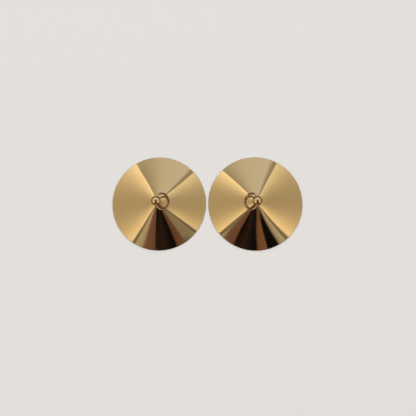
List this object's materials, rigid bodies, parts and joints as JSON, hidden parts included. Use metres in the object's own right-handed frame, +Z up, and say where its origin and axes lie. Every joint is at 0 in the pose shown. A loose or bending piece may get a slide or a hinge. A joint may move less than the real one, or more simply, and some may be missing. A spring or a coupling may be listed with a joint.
{
  "type": "finger cymbals",
  "caption": "Matching shallow conical hand cymbals, each with a cross-drilled ball at its apex that carries a swinging split ring, and a washer and nut inside the bowl.",
  "frame": {"origin": "midway between the cymbals, on the plane that both rims rest on", "axes": "+Z up through the apexes, +X from the left cymbal to the right one, +Y away from the viewer"},
  "size_m": [0.1216, 0.06, 0.0172],
  "materials": {
    "polished_gold": "mirror-polished gold plate on brass",
    "stud_gold": "turned and polished gold plate",
    "ring_gold": "polished rose-tinted gold wire",
    "leather": "plain vegetable-tanned",
    "washer_brass": "stamped, lightly brushed",
    "nut_brass": "machined"
  },
  "bodies": {
    "left_cymbal": {"left_shell": "polished_gold", "left_ball_stud": "stud_gold", "left_leather_washer": "leather", "left_metal_washer": "washer_brass", "left_nut": "nut_brass"},
    "left_ring": {"left_split_ring": "ring_gold"},
    "right_cymbal": {"right_shell": "polished_gold", "right_ball_stud": "stud_gold", "right_leather_washer": "leather", "right_metal_washer": "washer_brass", "right_nut": "nut_brass"},
    "right_ring": {"right_split_ring": "ring_gold"}
  },
  "joints": [
    {"name": "left_ring_swing", "type": "hinge", "parent": "left_cymbal", "child": "left_ring", "pos_m": [-0.03075, 0, 0.01405], "axis": [0, -1, 0], "range_deg": [0, 260.6]},
    {"name": "right_ring_swing", "type": "hinge", "parent": "right_cymbal", "child": "right_ring", "pos_m": [0.03075, 0, 0.01405], "axis": [0, 1, 0], "range_deg": [0, 260.6]},
    {"name": "right_cymbal_lift", "type": "slide", "parent": "left_cymbal", "child": "right_cymbal", "axis": [0, 0, 1], "range_m": [0, 0.06]}
  ]
}
